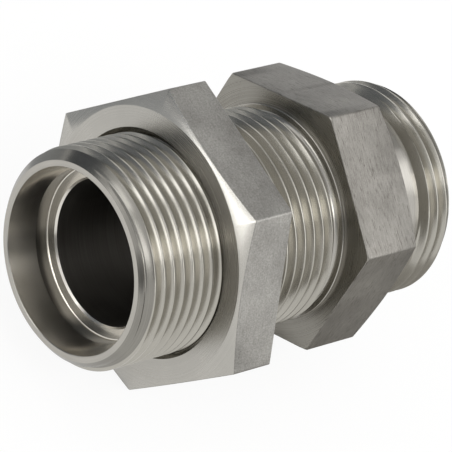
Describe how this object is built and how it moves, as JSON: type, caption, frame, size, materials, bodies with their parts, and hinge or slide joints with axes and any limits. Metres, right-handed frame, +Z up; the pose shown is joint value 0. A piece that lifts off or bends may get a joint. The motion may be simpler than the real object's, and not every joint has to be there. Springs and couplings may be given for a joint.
{
  "type": "bulkhead coupling",
  "caption": "Straight steel bulkhead coupling for tube: threaded stud with a fixed hexagon, a coned tube seat at each end and a hexagonal locknut that clamps a panel.",
  "frame": {"origin": "centre of the fixed hexagon's clamping face, on the axis of the flow bore", "axes": "+X along the flow bore from the bulkhead stud to the short stud, +Z up with the part lying on a flat of its locknut"},
  "size_m": [0.0683, 0.053, 0.047],
  "materials": {
    "turned_stainless_steel": "turned and threaded, satin, with fine circular tool marks",
    "milled_stainless_steel": "drawn hexagonal bar, matt flats and a turned face"
  },
  "bodies": {
    "coupling": {"coupling_body": "turned_stainless_steel"},
    "locknut": {"locknut": "milled_stainless_steel"}
  },
  "joints": [
    {"name": "locknut_travel", "type": "slide", "parent": "coupling", "child": "locknut", "axis": [1, 0, 0], "range_m": [-0.026, 0.018]}
  ]
}
